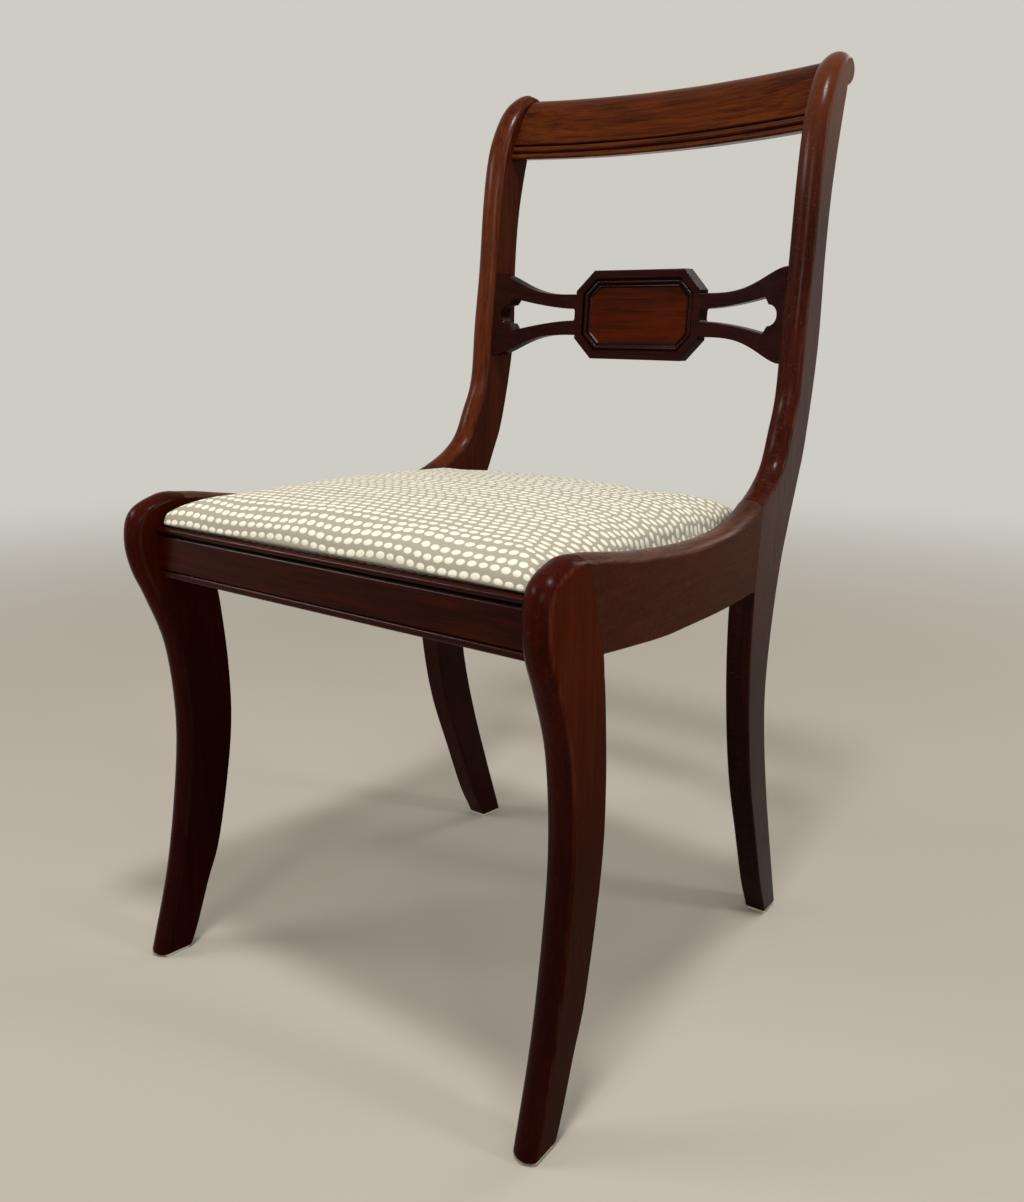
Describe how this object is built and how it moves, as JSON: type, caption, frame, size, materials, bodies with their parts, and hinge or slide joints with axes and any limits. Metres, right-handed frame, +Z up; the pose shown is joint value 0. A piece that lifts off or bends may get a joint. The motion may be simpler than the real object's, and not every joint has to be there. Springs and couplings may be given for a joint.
{
  "type": "dining chair",
  "caption": "Wooden dining chair with sabre legs, side rails that sweep up into scrolled posts, a bowed crest rail, a pierced cross splat and a padded drop-in seat that lifts out.",
  "frame": {"origin": "on the floor, at the middle of the bounding box in plan", "axes": "+Z up, -Y the way the sitter faces, +X to the right of someone standing in front of the chair"},
  "size_m": [0.4778, 0.5483, 0.8505],
  "materials": {
    "mahogany": "polished, dark red-brown, worn along the edges",
    "beech": "plain, unfinished",
    "steel": "dull",
    "felt": "pale felt",
    "jute_webbing": "woven jute",
    "foam": "cut foam",
    "dotted_fabric": "taupe weave with cream dots",
    "black_lining": "thin black lining cloth"
  },
  "bodies": {
    "frame": {"front_leg_left": "mahogany", "front_leg_right": "mahogany", "back_post_left": "mahogany", "back_post_right": "mahogany", "side_rail_left": "mahogany", "side_rail_right": "mahogany", "front_rail": "mahogany", "back_rail": "mahogany", "crest_rail": "mahogany", "back_splat": "mahogany", "corner_block_front_left": "beech", "corner_block_front_right": "beech", "corner_block_back_left": "beech", "corner_block_back_right": "beech", "seat_bearer_left": "beech", "seat_bearer_right": "beech", "corner_screw_front_left_1": "steel", "corner_screw_front_left_2": "steel", "corner_screw_front_right_1": "steel", "corner_screw_front_right_2": "steel", "corner_screw_back_left_1": "steel", "corner_screw_back_left_2": "steel", "corner_screw_back_right_1": "steel", "corner_screw_back_right_2": "steel", "dowel_leg_left_1": "beech", "dowel_leg_left_2": "beech", "dowel_leg_right_1": "beech", "dowel_leg_right_2": "beech", "dowel_post_left_1": "beech", "dowel_post_left_2": "beech", "dowel_post_right_1": "beech", "dowel_post_right_2": "beech", "dowel_front_left_1": "beech", "dowel_front_left_2": "beech", "dowel_front_right_1": "beech", "dowel_front_right_2": "beech", "dowel_back_left_1": "beech", "dowel_back_left_2": "beech", "dowel_back_right_1": "beech", "dowel_back_right_2": "beech", "foot_pad_front_left": "felt", "foot_pad_front_right": "felt", "foot_pad_back_left": "felt", "foot_pad_back_right": "felt"},
    "seat": {"seat_frame_front": "beech", "seat_frame_back": "beech", "seat_frame_left": "beech", "seat_frame_right": "beech", "webbing_long_1": "jute_webbing", "webbing_long_2": "jute_webbing", "webbing_long_3": "jute_webbing", "webbing_cross_1": "jute_webbing", "webbing_cross_2": "jute_webbing", "webbing_cross_3": "jute_webbing", "seat_stuffing": "foam", "seat_cover": "dotted_fabric", "dust_cover": "black_lining"}
  },
  "joints": [
    {"name": "seat_lift", "type": "slide", "parent": "frame", "child": "seat", "axis": [0, 0, 1], "range_m": [0, 0.12]}
  ]
}
